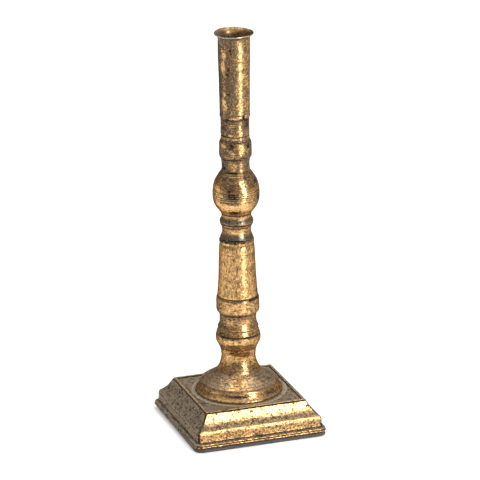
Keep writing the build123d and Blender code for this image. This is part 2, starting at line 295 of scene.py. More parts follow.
def makeAgedSkin():
    # bare metal, tarnish and glaze laid over each other, with broken edges
    inputs = [
        ("metal", "Color", (0.7, 0.48, 0.22, 1)), ("dull", "Color", (0.3, 0.2, 0.1, 1)),
        ("tarnish", "Color", (0.05, 0.03, 0.015, 1)), ("glaze", "Color", (0.13, 0.05, 0.015, 1)),
        ("pit", "Color", (0.03, 0.02, 0.01, 1)), ("silver", "Color", (0.5, 0.5, 0.5, 1)),
        ("grit", "Float", 0.7), ("gritSize", "Float", 640.0), ("patchSize", "Float", 120.0),
        ("level", "Float", 0.3), ("stretch", "Vector", (1, 1, 1)),
    ]
    masks = [(label, "Float") for label in ("dark", "glazedAndShade", "rubbedAndHighlit", "silveredAndPaintedLight")]
    group, given, out = newGroup("agedSkin", inputs, [("colour", "Color"), *masks])
    place = objectPlace(group)
    wear = addNode(group, "Attribute", attribute_name="wear")
    tarnishAndShade, rubbedAndHighlit, glaze = addNode(group, "SeparateColor", {0: wear.outputs["Color"]}).outputs
    silveredAndPaintedLight = wear.outputs["Alpha"]
    scaled = {0: place, 1: given["stretch"]}
    stretched = addNode(group, "VectorMath", scaled, operation="MULTIPLY").outputs[0]
    broad = speckle(group, stretched, given["patchSize"], 5.0, 0.68)
    fine = speckle(group, stretched, 750.0, 4.0, 0.7)
    mixed = plus(group, times(group, broad, 0.4), times(group, fine, 0.6))
    # the listed marks shift where the noise breaks into tarnish
    shift = minus(group, times(group, tarnishAndShade, 0.16), times(group, rubbedAndHighlit, 0.12))
    tarnishing = plus(group, plus(group, mixed, shift), times(group, given["level"], 0.1))
    dark = fade(group, tarnishing, 0.50, 0.66)
    clouds = speckle(group, stretched, times(group, given["gritSize"], 0.65), 5.0, 0.75)
    bright = fade(group, minus(group, clouds, shift), 0.42, 0.62)
    glazedAndShade = fade(group, plus(group, glaze, times(group, broad, 0.5)), 0.55, 0.95)
    # flecks of grit: sunk ones dark, proud ones rubbed bright, fewer where glaze fills them
    grit = speckle(group, stretched, given["gritSize"], 2.5, 0.75)
    sunk = times(group, fade(group, grit, 0.48, 0.38), given["grit"])
    proud = times(group, fade(group, grit, 0.53, 0.61), given["grit"])
    proud = times(group, proud, minus(group, 1.0, times(group, glazedAndShade, 0.7)))
    deep = fade(group, tarnishAndShade, 0.72, 1.0)
    colour = blendTone(group, bright, given["dull"], given["metal"])
    colour = blendTone(group, dark, colour, given["tarnish"])
    colour = blendTone(group, glazedAndShade, colour, given["glaze"])
    colour = blendTone(group, times(group, proud, 0.75), colour, given["metal"])
    colour = blendTone(group, silveredAndPaintedLight, colour, given["silver"])
    colour = blendTone(group, maths(group, "MAXIMUM", sunk, deep), colour, given["pit"])
    made = {"colour": colour, "dark": dark, "glazedAndShade": glazedAndShade, "rubbedAndHighlit": rubbedAndHighlit, "silveredAndPaintedLight": silveredAndPaintedLight}
    for label, value in made.items():
        group.links.new(value, out[label])
    return group


castPits = makeCastPits()
turnedLines = makeTurnedLines()
settledFilm = makeSettledFilm()
agedSkin = makeAgedSkin()

# brass finishes

brassTones = {
    "metal": (0.84, 0.515, 0.215),
    "dull": (0.41, 0.225, 0.085),
    "tarnish": (0.125, 0.087, 0.053),
    "pit": (0.030, 0.020, 0.012),
    "glaze": (0.20, 0.080, 0.022),
    "silver": (0.50, 0.49, 0.47),
    "edge": (0.12, 0.09, 0.07),        # how the metal reflects at a glance
    "film": (0.32, 0.27, 0.205),
}

# what a finish is unless it says otherwise
plainFinish = {
    "glaze": brassTones["glaze"],
    "silver": brassTones["silver"],
    "gritSize": 640.0,
    "filmCover": 0.8,        # how far each layer hides the metal's shine
    "tarnishCover": 0.45,
    "glazeCover": 0.0,
    "silverCover": 0.0,
    "dulling": 0.16,         # what tarnish and film add to the roughness
    "glazeGloss": -0.12,     # what glaze adds to it
    "holeShade": 0.8,
    "tarnishSink": 0.3,
    "bumpStrength": 0.55,
}

# sizes are per metre: a larger number is a finer pattern
brassFinishes = {
    "baseBrass": {
        "level": 0.2, "patchSize": 170.0, "pits": 470.0, "share": 0.42, "film": 0.7, "lines": 0.0,
        "bump": 0.12, "rough": 0.31, "grit": 0.85, "gritSize": 560.0, "stretch": (1.1, 1.1, 1.1),
        # this grey glaze and brown silver colour the film on the sides turned from the light, which is
        # partly painted shade, and the plate
        "glaze": (0.305, 0.235, 0.155), "glazeCover": 0.5, "glazeGloss": 0.02,
        "silver": (0.50, 0.40, 0.27), "silverCover": 0.8,
    },
    "footBrass": {
        "level": 0.2, "patchSize": 150.0, "pits": 560.0, "share": 0.30, "film": 0.7, "lines": 0.35,
        "bump": 0.10, "rough": 0.25, "grit": 0.65, "stretch": (0.9, 0.9, 1.7),
    },
    "stemBrass": {
        "level": 0.35, "patchSize": 190.0, "pits": 640.0, "share": 0.32, "film": 0.6, "lines": 0.25,
        "bump": 0.10, "rough": 0.28, "grit": 0.55, "gritSize": 700.0, "stretch": (0.9, 0.9, 1.6),
        "silver": (0.17, 0.155, 0.125),
    },
    "columnBrass": {
        "level": 0.3, "patchSize": 170.0, "pits": 680.0, "share": 0.34, "film": 0.5, "lines": 0.15,
        "bump": 0.09, "rough": 0.27, "grit": 0.38, "stretch": (1.5, 1.5, 0.75),
        "silver": (0.17, 0.155, 0.125),
    },
    "knopBrass": {
        "level": 0.45, "patchSize": 120.0, "pits": 520.0, "share": 0.26, "film": 0.35, "lines": 0.3,
        "bump": 0.09, "rough": 0.22, "grit": 0.5, "stretch": (0.8, 0.8, 1.9),
    },
    "socketBrass": {
        "level": 0.95, "patchSize": 200.0, "pits": 700.0, "share": 0.40, "film": 0.3, "lines": 0.35,
        "bump": 0.09, "rough": 0.24, "grit": 0.4, "gritSize": 780.0, "stretch": (1.1, 1.1, 1.2),
    },
}


def makeBrass(name):
    finish = {**plainFinish, **brassFinishes[name]}
    made, tree, shader = newMaterial(name)
    tones = {key: brassTones[key] for key in ("metal", "dull", "tarnish", "pit")}
    own = ("glaze", "silver", "patchSize", "level", "grit", "gritSize", "stretch")
    skin = useGroup(tree, agedSkin, **tones, **{key: finish[key] for key in own})
    pits = useGroup(tree, castPits, perMetre=finish["pits"], share=finish["share"])
    film = useGroup(tree, settledFilm, amount=finish["film"])["mask"]
    film = times(tree, film, minus(tree, 1.0, skin["rubbedAndHighlit"]))
    lines = useGroup(tree, turnedLines)["lines"]
    colour = blendTone(tree, film, skin["colour"], brassTones["film"])
    shade = times(tree, pits["holes"], finish["holeShade"])
    plug(tree, blendTone(tree, shade, colour, brassTones["pit"]), shader.inputs["Base Color"])
    covered = times(tree, film, finish["filmCover"])
    covers = {"dark": "tarnishCover", "glazedAndShade": "glazeCover", "silveredAndPaintedLight": "silverCover"}
    for mask, cover in covers.items():
        covered = maths(tree, "MAXIMUM", covered, times(tree, skin[mask], finish[cover]))
    plug(tree, minus(tree, 1.0, covered), shader.inputs["Metallic"])
    dulled = times(tree, maths(tree, "MAXIMUM", skin["dark"], film), finish["dulling"])
    gloss = times(tree, skin["glazedAndShade"], finish["glazeGloss"])
    plug(tree, plus(tree, plus(tree, dulled, finish["rough"]), gloss), shader.inputs["Roughness"])
    shader.inputs["Specular Tint"].default_value = (*brassTones["edge"], 1)
    height = plus(tree, pits["height"], times(tree, lines, finish["lines"]))
    height = minus(tree, height, times(tree, skin["dark"], finish["tarnishSink"]))
    addBump(tree, shader, height, finish["bumpStrength"], finish["bump"] * mm)
    return made


brass = {name: makeBrass(name) for name in brassFinishes}
print("brass finishes made")


# shape helpers, in millimetres

noiseCells = 40      # the noise repeats after this many cells


def softNoise(points, size, seed):
    table = np.random.default_rng(seed).uniform(-1, 1, (noiseCells,) * 3)
    p = np.asarray(points) / size + 10 * noiseCells
    cell = np.floor(p).astype(int)
    part = p - cell
    part = part * part * (3 - 2 * part)
    total = np.zeros(p.shape[:-1])
    for corner in np.ndindex(2, 2, 2):
        weight = np.ones(p.shape[:-1])
        for axis, step in enumerate(corner):
            weight = weight * (part[..., axis] if step else 1 - part[..., axis])
        index = [(cell[..., axis] + step) % noiseCells for axis, step in enumerate(corner)]
        total += weight * table[index[0], index[1], index[2]]
    return total


def ridge(values, at, spread):
    # 1 along a line, fading away on both sides of it
    return np.exp(-((values - at) / spread) ** 2)


def smoothRun(points, step, fewest=1):
    # a curve through the points, without its first one
    points = np.array(points, float)
    gaps = np.maximum(np.linalg.norm(np.diff(points[:, :2], axis=0), axis=1), 1e-6)
    slopes = np.diff(points, axis=0) / gaps[:, None]
    ends = np.vstack([slopes[:1], slopes, slopes[-1:]])
    if len(points) > 2:
        ends[0] = 1.5 * slopes[0] - 0.5 * slopes[1]
        ends[-1] = 1.5 * slopes[-1] - 0.5 * slopes[-2]
    tangents = np.array([(ends[i] + ends[i + 1]) / 2 for i in range(len(points))])
    if len(points) > 2:
        tangents[0], tangents[-1] = ends[0], ends[-1]
    out = []
    for i, gap in enumerate(gaps):
        count = max(fewest, math.ceil(gap / step))
        t = (np.arange(count) + 1)[:, None] / count
        a, b = points[i], points[i + 1]
        out.append(
            (2 * t ** 3 - 3 * t ** 2 + 1) * a + (t ** 3 - 2 * t ** 2 + t) * gap * tangents[i]
            + (3 * t ** 2 - 2 * t ** 3) * b + (t ** 3 - t ** 2) * gap * tangents[i + 1]
        )
    return np.vstack(out)


roundingSteps = 24      # from the square outline to the round one


def sideLine(runs, step):
    # runs meet at sharp edges, and each starts where the one before it stopped
    line = [np.array([runs[0][0]], float)]
    start = []
    for run in runs:
        run = start + run
        turnsRound = len(run[0]) > 3 and run[0][3] != run[1][3]
        line.append(smoothRun(run, step, roundingSteps if turnsRound else 1))
        start = run[-1:]
    return np.vstack(line)


def outwardOf(line):
    # how far out and how far up the skin faces, along a line of (height, radius)
    ahead = np.diff(line[:, :2], axis=0)
    ahead = ahead / np.maximum(np.linalg.norm(ahead, axis=1), 1e-9)[:, None]
    both = np.vstack([ahead[:1], ahead]) + np.vstack([ahead, ahead[-1:]])
    both = both / np.maximum(np.linalg.norm(both, axis=1), 1e-9)[:, None]
    return both[:, 0], -both[:, 1]


def closedMesh(name, rings, wear, material, capped=False):
    # a closed skin over rings of points: the last ring joins the first, or both ends are capped
    # wear has four channels: tarnished, rubbed, glazed and silvered; besides real wear they carry
    # painted shade, painted highlights and a painted reflection laid in the marks
    count, around, _ = rings.shape
    index = np.arange(count * around).reshape(count, around)
    beside, above = np.roll(index, -1, axis=1), np.roll(index, -1, axis=0)
    faces = np.stack([index, beside, np.roll(above, -1, axis=1), above], axis=-1)
    if capped:
        ends = [index[0, ::-1].tolist(), index[-1].tolist()]
        faces = faces[:-1].reshape(-1, 4).tolist() + ends
    else:
        faces = faces.reshape(-1, 4).tolist()
    mesh = bpy.data.meshes.new(name)
    mesh.from_pydata((rings.reshape(-1, 3) * mm).tolist(), [], faces)
    mesh.materials.append(material)
    layer = mesh.color_attributes.new("wear", "FLOAT_COLOR", "POINT")
    layer.data.foreach_set("color", np.clip(wear, 0, 1).reshape(-1))
    mesh.shade_smooth()
    mesh.set_sharp_from_angle(angle=math.radians(42))
    made = bpy.data.objects.new(name, mesh)
    bpy.context.scene.collection.objects.link(made)
    return made


def patchWeight(azimuths, heights, mark):
    # a mark is (azimuth, height, degrees wide, millimetres tall)
    turn = (azimuths - mark[0] + 180) % 360 - 180
    away = (turn / mark[2]) ** 2 + ((heights - mark[1]) / mark[3]) ** 2
    return np.exp(-away * 1.4)


# turned pieces

turning = {
    "around": 288,
    "step": 0.42,
    "spigotRadius": 7.6,
    "spigotHeight": 2.4,
    "recessRadius": 7.65,
    "recessHeight": 2.7,
    "rodBore": 4.15,
    "wobble": 0.13,         # slow waver of the casting, and its size
    "wobbleSize": 19,
    "lumps": 0.07,
    "lumpSize": 4.5,
    "grain": 0.028,
    "grainSize": 1.3,
    "pitSizes": (0.45, 1.0),
    "pitDepths": (0.05, 0.16),
    "pitTarnish": 3,
    "mostTarnish": 0.7,     # listed tarnish stops short of black
    "rubbedClean": 0.8,     # the share of it that goes where the brass is rubbed
    "grooveWaver": 0.12,
    "grooveTarnish": 8,
    "trueEnd": 0.8,         # the ends stay true over this length, so the joints close
    "seam": (1.1, 1.1),     # how dark the joints are, at the foot and at the head
    "seamFade": 0.42,
}


def closingLine(spec, head, foot):
    # back down the inside: a spigot on top, the rod's bore, and a recess or a hollow below
    t = turning
    top, roof = head + t["spigotHeight"], foot + t["recessHeight"]
    line = []
    if "mouth" not in spec:
        line += [(head, t["spigotRadius"]), (top, t["spigotRadius"]), (top, t["rodBore"])]
    if "hollow" in spec:
        line += spec["hollow"]
    else:
        line += [(roof, t["rodBore"]), (roof, t["recessRadius"]), (foot, t["recessRadius"])]
    return np.array(line, float)


def turnPiece(name, spec):
    # "dents" are (azimuth, height, degrees wide, millimetres tall, depth), the other marks end
    # in an amount, and "grooves" are (height, width, depth) with a waver of their own at times
    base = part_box(spec["node"])[0].z / mm
    t = turning
    seed = spec["seed"]
    outside = sideLine(spec["side"], t["step"])
    outer = len(outside)
    inside = sideLine(spec["mouth"], t["step"])[1:] if "mouth" in spec else np.zeros((0, 2))
    line = np.vstack([outside, inside, closingLine(spec, outside[-1, 0], outside[0, 0])])
    shown = outer + len(inside)
    azimuth = np.arange(t["around"]) * 360 / t["around"]
    rad = np.radians(azimuth)
    unit = np.stack([np.sin(rad), -np.cos(rad)], axis=-1)

    def ringsAt(radii, heights):
        return np.concatenate([radii[..., None] * unit, (heights + base)[..., None]], axis=-1)

    outR, outZ = outwardOf(line[:shown])
    heights = np.repeat(line[:, :1], t["around"], axis=1)
    radii = np.repeat(line[:, 1:2], t["around"], axis=1)
    azimuths = np.repeat(azimuth[None, :], len(line), axis=0)
    show = ringsAt(radii, heights)[:shown]
    h, a = heights[:shown], azimuths[:shown]

    away = t["wobble"] * softNoise(show, t["wobbleSize"], seed)
    away += spec.get("lumps", 1) * t["lumps"] * softNoise(show, t["lumpSize"], seed + 1)
    away += spec.get("grain", 1) * t["grain"] * softNoise(show, t["grainSize"], seed + 2)
    wear = np.zeros((len(line), t["around"], 4))
    tarnishAndShade, rubbedAndHighlit = wear[:shown, :, 0], wear[:shown, :, 1]

    # casting pits, scattered
    dice = random.Random(seed)
    holes = np.zeros(away.shape)
    along = np.linalg.norm(np.diff(line[:outer, :2], axis=0), axis=1)
    along = np.concatenate([[0], np.cumsum(along)])
    for _ in range(spec["pitCount"]):
        ring, column = dice.randrange(3, outer - 3), dice.randrange(t["around"])
        size = dice.uniform(*t["pitSizes"])
        deep = dice.uniform(*t["pitDepths"]) * spec.get("pitDepth", 1)
        rows = np.flatnonzero(np.abs(along - along[ring]) < 3 * size)
        gap = np.linalg.norm(show[rows] - show[ring, column], axis=-1) / size
        hole = np.exp(-gap ** 2)
        away[rows] -= deep * hole
        holes[rows] += hole * deep * t["pitTarnish"]
    # knocks and swellings
    for dent in spec.get("dents", []):
        away -= dent[4] * patchWeight(a, h, dent)
    # among the listed marks, broad tarnish and blackening far round to the left is partly painted
    # shade, rubbing along the strip lamp's reflection partly painted highlight, and a dark patch on the
    # ball partly a painted reflection
    for channel, kind in enumerate(("tarnishAndShade", "rubbedAndHighlit", "glazedAndShade", "silveredAndPaintedLight")):
        for mark in spec.get(kind, []):
            wear[:shown, :, channel] += mark[4] * patchWeight(a, h, mark)
    rubbedAndHighlit *= np.clip(0.85 + 0.9 * softNoise(show, 2.3, seed + 10), 0.1, 1.5)
    bare = 1 - t["rubbedClean"] * np.minimum(rubbedAndHighlit, 1)
    tarnishAndShade[:] = np.minimum(tarnishAndShade, t["mostTarnish"]) * bare + holes
    # blackened marks, some of them painted shade, have ragged edges and may go to full black
    ragged = 0.7 + 0.7 * softNoise(show, 1.4, seed + 8) + 0.4 * softNoise(show, 3.1, seed + 9)
    for mark in spec.get("blackenedAndShade", []):
        tarnishAndShade += mark[4] * patchWeight(a, h, mark) * ragged
    # fine grooves left by the turning tool
    ripple = softNoise(show, 6, seed + 5)
    for height, width, deep, *waver in spec.get("grooves", []):
        drift = (waver[0] if waver else t["grooveWaver"]) * ripple
        cut = ridge(h - height, drift, width) * (0.7 + 0.5 * ripple)
        cut[outer:] = 0
        away -= deep * cut
        tarnishAndShade += cut * min(1, deep * t["grooveTarnish"])

    fromEnd = along if "mouth" in spec else np.minimum(along, along[-1] - along)
    away[:outer] *= np.clip(fromEnd / t["trueEnd"], 0, 1)[:, None]
    radii[:shown] += away * outR[:, None]
    heights[:shown] += away * outZ[:, None]
    # dark in the joints
    atFoot, atHead = spec.get("seam", t["seam"])
    seam = atFoot * np.exp(-along / t["seamFade"])
    seam += atHead * np.exp(-(along[-1] - along) / t["seamFade"])
    tarnishAndShade[:outer] += seam[:, None] * (0.75 + 0.6 * softNoise(show[:outer], 4, seed + 7))
    if "shape" in spec:
        spec["shape"](heights, radii, azimuths, shown, outer)
    made = closedMesh(name, ringsAt(radii, heights), wear, brass[spec["finish"]])
    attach(made, "root")
    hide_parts(spec["node"])


# foot

foot = {
    "node": "stem_foot", "slot": "foot_brass", "finish": "footBrass", "seed": 11, "pitCount": 300,
    "side": [
        [(0.15, 34.8), (0.3, 35.1), (1.0, 35.15), (1.6, 34.9)],
        [(2.8, 33.7), (4.4, 32.6), (5.9, 32.0), (6.5, 31.9)],
        [(6.9, 32.05), (7.3, 31.9), (8.2, 31.4), (9.2, 30.6)],
        [
            (10.3, 29.0), (11.8, 26.6), (13.4, 24.0), (15.6, 20.6), (17.6, 18.1), (21.8, 15.7),
            (25.8, 14.4), (29.8, 13.8), (33.8, 14.25), (37.4, 15.1),
        ],
        [(37.65, 14.7)],
    ],
    "hollow": [(28.7, 4.15), (28.7, 10.8), (20.6, 10.8), (16.1, 15), (5.6, 28.4), (2, 31.6), (0, 31.6)],
    "grooves": [
        (8.6, 0.35, 0.07, 0.3), (10.2, 0.35, 0.07, 0.4), (12.0, 0.35, 0.06, 0.4),
        (13.8, 0.35, 0.06, 0.5), (15.6, 0.35, 0.05, 0.5), (20.0, 0.35, 0.06, 0.4),
        (24.0, 0.35, 0.05, 0.4), (27.0, 0.35, 0.05, 0.4),
    ],
    "dents": [
        (-52, 14.5, 5, 0.8, 0.35), (-44, 12.6, 5, 0.7, 0.3), (-30, 10.4, 3, 0.5, 0.25),
        (8, 9.6, 4, 0.5, 0.25),
    ],
    # the broad tarnish at -75 and -70 is partly painted shade on the side turned from the lamps
    "tarnishAndShade": [
        (-22, 4.6, 24, 1.7, 1.0), (-75, 4.5, 14, 4, 0.7), (-70, 15, 26, 6, 0.6), (-25, 25, 14, 3, 0.5),
        (-40, 19, 12, 3, 0.7), (34, 17, 14, 5, 0.8), (30, 5, 16, 2.5, 0.8), (-8, 8.6, 40, 0.9, 0.6),
        (52, 12, 20, 3, 0.6),
    ],
    "blackenedAndShade": [
        (-20, 4.9, 26, 1.0, 0.6), (34, 4.6, 14, 1.6, 0.4), (-50, 13.6, 4, 0.7, 0.8),
        (-44, 11.6, 3, 0.5, 0.8), (-86, 6, 7, 3, 0.5), (20, 19.5, 6, 1.2, 0.6),
        (-30, 20.5, 9, 0.9, 0.5),
    ],
    # the rubbing at (-18, 14) and (8, 2.6) is partly a painted highlight: bare metal where the strip
    # lamp's reflection falls
    "rubbedAndHighlit": [
        (-18, 14, 15, 5, 1.6), (-27, 11.0, 12, 1.6, 1.4), (8, 2.6, 10, 2.2, 1.6),
        (-30, 6.9, 40, 0.9, 1.6), (28, 7.2, 24, 0.9, 1.6), (-52, 26, 10, 6, 0.9), (-4, 26, 6, 6, 1.0),
        (-50, 4, 18, 2.4, 0.9), (-26, 2.2, 40, 0.9, 1.4), (45, 2, 8, 0.7, 1.4),
    ],
    "glazedAndShade": [(-18, 34.4, 60, 3.2, 0.85), (12, 32, 24, 3, 0.4)],
}

# twin ring, spool and the band under the column

twinRing = {
    "node": "ring_bead", "slot": "stem_brass", "finish": "stemBrass", "seed": 21,
    "pitCount": 200, "pitDepth": 1.4,
    "side": [
        [
            (0.15, 15.0), (0.3, 15.3), (2.1, 16.2), (4.1, 17.2), (6.1, 18.0), (8.2, 18.1),
            (10.4, 18.0), (11.1, 17.6),
        ],
        [(11.4, 16.9), (11.75, 16.9), (12.1, 17.5)],
        [(13.1, 17.3), (14.4, 16.7), (15.6, 16.4), (16.2, 16.3)],
        [(16.45, 15.8)],
    ],
    "dents": [
        (-38, 13.4, 5, 1.0, 0.6), (-30, 12.6, 3, 0.7, 0.4), (-12, 12.6, 4, 0.6, 0.3),
        (25, 7, 5, 1.4, 0.15), (-55, 6, 5, 2, 0.15), (-24, 14.6, 3, 0.8, 0.4), (-46, 15.4, 4, 0.7, 0.4),
        (-14, 15.2, 4, 0.5, 0.3),
    ],
    "tarnishAndShade": [
        (-20, 11.6, 70, 0.9, 1.3), (60, 12, 40, 1.2, 1.0), (-70, 14, 40, 2, 0.7),
        (-20, 3, 60, 1.4, 0.4),
    ],
    "blackenedAndShade": [
        (-20, 11.55, 90, 0.5, 0.8), (-36, 13.6, 5, 0.7, 0.8), (-45, 15.3, 4, 0.6, 0.8),
        (-22, 14.8, 3, 0.6, 0.7), (30, 15.6, 8, 0.5, 0.6),
    ],
    # the rubbing at azimuth 2 is partly a painted highlight along the strip lamp's reflection
    "rubbedAndHighlit": [(-30, 7.5, 30, 2.4, 0.6), (2, 14, 20, 1.4, 0.9), (-30, 14.2, 10, 0.8, 0.6)],
}

spool = {
    "node": "lower_spool", "slot": "stem_brass", "finish": "stemBrass", "seed": 31, "pitCount": 120,
    "side": [
        [(0.15, 16.0), (0.35, 16.4), (1.0, 16.4)],
        [(2.6, 15.6), (4.6, 15.0), (6.2, 14.85), (9.6, 14.9), (12.2, 15.2)],
        [(12.45, 14.8)],
    ],
    # the broad tarnish at -80 is partly painted shade on the side turned from the lamps
    "tarnishAndShade": [
        (-25, 10.8, 60, 1.8, 0.6), (-80, 6, 36, 5, 0.6), (50, 7, 40, 5, 0.45), (-26, 6, 14, 3, 0.35),
    ],
    # the rubbing at azimuth 5 is partly a painted highlight along the strip lamp's reflection
    "rubbedAndHighlit": [(5, 4, 12, 5, 1.0), (-20, 0.7, 60, 0.6, 0.8), (-44, 6, 10, 4, 0.4)],
}

columnBand = {
    "node": "column_band", "slot": "stem_brass", "finish": "stemBrass", "seed": 41,
    "pitCount": 220, "pitDepth": 1.2,
    "side": [
        [
            (0.15, 15.4), (0.4, 15.9), (1.1, 16.5), (2.6, 17.25), (7.0, 17.3), (11.6, 17.3),
            (13.0, 17.1), (14.1, 16.7),
        ],
        [(14.4, 16.2)],
    ],
    "dents": [(50, 14, 14, 0.9, 0.6), (-70, 13.9, 9, 0.8, 0.25), (-15, 14.1, 14, 0.7, 0.4)],
    # the broad tarnish at -85 is partly painted shade on the side turned from the lamps
    "tarnishAndShade": [(45, 13.6, 40, 1.2, 1.1), (-30, 0.8, 60, 1, 0.8), (-85, 8, 26, 6, 0.4)],
    "blackenedAndShade": [(-12, 14.1, 16, 0.6, 1.3), (52, 13.7, 16, 0.8, 1.4), (-20, 0.3, 90, 0.5, 0.7)],
    # the rubbing at azimuth 4 is partly a painted highlight along the strip lamp's reflection
    "rubbedAndHighlit": [(-25, 7, 34, 4, 0.5), (4, 8, 12, 5, 0.6)],
}

# tapered column

column = {
    "node": "tapered_column", "slot": "stem_brass", "finish": "columnBrass", "seed": 51,
    "pitCount": 330,
    "side": [
        [(0.15, 15.7), (0.35, 16.15), (0.7, 16.3)],
        [
            (12.6, 15.4), (28.6, 14.76), (42.0, 14.1), (44.6, 13.85), (46.4, 14.0), (47.6, 13.85),
            (48.3, 13.5),
        ],
        [(48.5, 13.1)],
    ],
    "grooves": [(37.0, 0.3, 0.10), (44.2, 0.35, 0.12)],
    "dents": [
        (-100, 22, 6, 1.0, 0.3), (-96, 31, 5, 0.8, 0.28), (-104, 13, 6, 1.0, 0.25),
        (58, 6, 9, 1.2, 0.35), (-20, 46.9, 8, 0.5, 0.2), (-99, 38, 4, 0.6, 0.25),
        (-98, 17, 4, 0.6, 0.25),
    ],
    "tarnishAndShade": [
        (-24, 7, 3, 2, 1.0), (-17, 13, 2.5, 3, 0.9), (-26, 20, 3, 2, 0.9), (-18, 27, 2.5, 3, 0.9),
        (-28, 33, 3, 2, 0.8), (-20, 40, 3, 2.4, 0.8), (58, 5, 12, 2, 1.3), (-98, 22, 10, 2, 1),
        (38, 25, 9, 3, 0.7), (44, 36, 8, 2, 0.7), (-50, 12, 5, 3, 0.5), (-60, 30, 5, 4, 0.5),
        (34, 13, 5, 3, 0.6), (-20, 43, 60, 1.2, 0.4),
    ],
    "blackenedAndShade": [
        (-25, 47.5, 120, 1.2, 1.7), (57, 5.4, 7, 1.0, 0.9), (-100, 22, 5, 1, 0.6), (-98, 31, 4, 1, 0.6),
        (40, 28, 3, 0.8, 0.5),
    ],
    # the rubbing at azimuth 3 and 2 is partly a painted highlight along the strip lamp's reflection
    "rubbedAndHighlit": [
        (3, 24, 8, 26, 1.1), (-50, 24, 22, 22, 0.4), (-58, 46.2, 16, 0.7, 1.4), (2, 46.4, 6, 0.8, 2.0),
        (-20, 1.2, 50, 0.8, 0.6),
    ],
    "glazedAndShade": [(46, 22, 22, 20, 0.35)],
}

# cove, bead and ball

coveCollar = {
    "node": "cove_collar", "slot": "stem_brass", "finish": "stemBrass", "seed": 61, "pitCount": 60,
    "side": [
        [(0.15, 13.1), (0.4, 13.3), (2.0, 12.7), (4.0, 12.0), (6.2, 11.6), (8.2, 11.7), (10.1, 12.1)],
        [(10.35, 11.7)],
    ],
    # the broad tarnish at -75 is partly painted shade on the side turned from the lamps
    "tarnishAndShade": [(-22, 1, 40, 0.9, 0.9), (-75, 6, 30, 4, 0.5), (30, 7, 10, 3, 0.5)],
    # the rubbing at azimuth 2 is partly a painted highlight along the strip lamp's reflection
    "rubbedAndHighlit": [(-30, 6, 30, 3, 0.6), (2, 6, 8, 3, 0.9)],
    "silveredAndPaintedLight": [(-20, 2.2, 130, 3.2, 1.0)],
    "blackenedAndShade": [(-20, 0.4, 120, 0.8, 0.8)],
}

beadRing = {
    "node": "bead_ring", "slot": "stem_brass", "finish": "stemBrass", "seed": 71, "pitCount": 90,
    "side": [
        [
            (0.1, 11.8), (0.3, 12.2), (1.6, 13.1), (3.7, 13.5), (5.6, 13.0), (7.2, 12.1), (8.2, 11.9),
            (9.4, 11.95), (10.2, 12.2),
        ],
        [(10.45, 11.8)],
    ],
    "grooves": [(2.4, 0.35, 0.25)],
    "tarnishAndShade": [
        (-20, 2.2, 75, 0.6, 1.4), (-30, 6.0, 70, 1.6, 0.9), (60, 4, 30, 3, 0.5),
        (-22, 3.6, 12, 0.8, 0.7),
    ],
    "blackenedAndShade": [(-25, 2.5, 120, 0.75, 2.0)],
    "silveredAndPaintedLight": [(-20, 5.4, 130, 2.4, 0.9)],
    # the rubbing at azimuth 1 is partly a painted highlight along the strip lamp's reflection
    "rubbedAndHighlit": [(-24, 1.0, 40, 0.8, 1.0), (1, 4.4, 9, 1.0, 1.5)],
}

ballKnop = {
    "node": "ball_knop", "slot": "knop_brass", "finish": "knopBrass", "seed": 81, "seam": (1.1, 0.5),
    "pitCount": 200, "pitDepth": 1.1,
    "side": [
        [
            (0.15, 12.0), (0.4, 12.3), (1.1, 12.7), (3.1, 14.2), (5.1, 15.8), (9.1, 17.8),
            (13.1, 18.75), (16.1, 18.8),
            (19.1, 18.72), (23.1, 18.2), (27.1, 17.0), (29.1, 16.0), (31.1, 14.8), (33.2, 13.5),
            (33.7, 13.1),
        ],
        [(33.98, 12.9)],
    ],
    "grooves": [
        (13.2, 0.45, 0.2), (15.0, 0.45, 0.16), (16.8, 0.45, 0.2), (18.6, 0.45, 0.16),
        (20.4, 0.45, 0.18),
    ],
    "dents": [
        (-75, 22, 12, 4, 0.3), (-60, 24, 6, 2, -0.2), (-80, 6, 14, 3, 0.3), (-66, 17, 7, 2, 0.18),
        (-84, 19, 8, 3, 0.3), (-92, 12, 8, 2, 0.3), (-52, 13, 5, 2, 0.2),
    ],
    # the tarnish at (-32, 25) and (-28, 18), with the blackening at (-28, 23.5) and the glaze at (-30,
    # 24), make a dark patch on the upper ball that is partly a painted reflection of the dark room
    "tarnishAndShade": [
        (-32, 25, 16, 5, 1.1), (-28, 18, 16, 4, 0.8), (45, 29, 34, 4, 0.9), (-20, 32.4, 90, 1.8, 1.2),
        (55, 14, 20, 9, 0.6), (70, 20, 20, 9, 0.6), (-30, 12.4, 40, 0.8, 0.5),
    ],
    "blackenedAndShade": [
        (-20, 1.0, 120, 0.5, 0.7), (-28, 23.5, 17, 7, 0.3), (-60, 30, 12, 1.4, 0.4),
        (52, 24, 18, 7, 0.4), (60, 12, 14, 4, 0.3),
    ],
    # the rubbing at azimuth 5 is partly a painted highlight along the strip lamp's reflection
    "rubbedAndHighlit": [
        (-70, 18, 14, 10, 1.1), (5, 18, 7, 14, 1.4), (-22, 8, 40, 3, 1.4), (-20, 33.4, 90, 0.5, 0.9),
        (-66, 26, 10, 3, 0.8), (-2, 12, 10, 3, 1.0),
    ],
    "glazedAndShade": [(-30, 24, 18, 7, 0.55), (-26, 4, 20, 2.0, 1.0), (40, 18, 18, 10, 0.5)],
}

# neck, upper band and rough collar

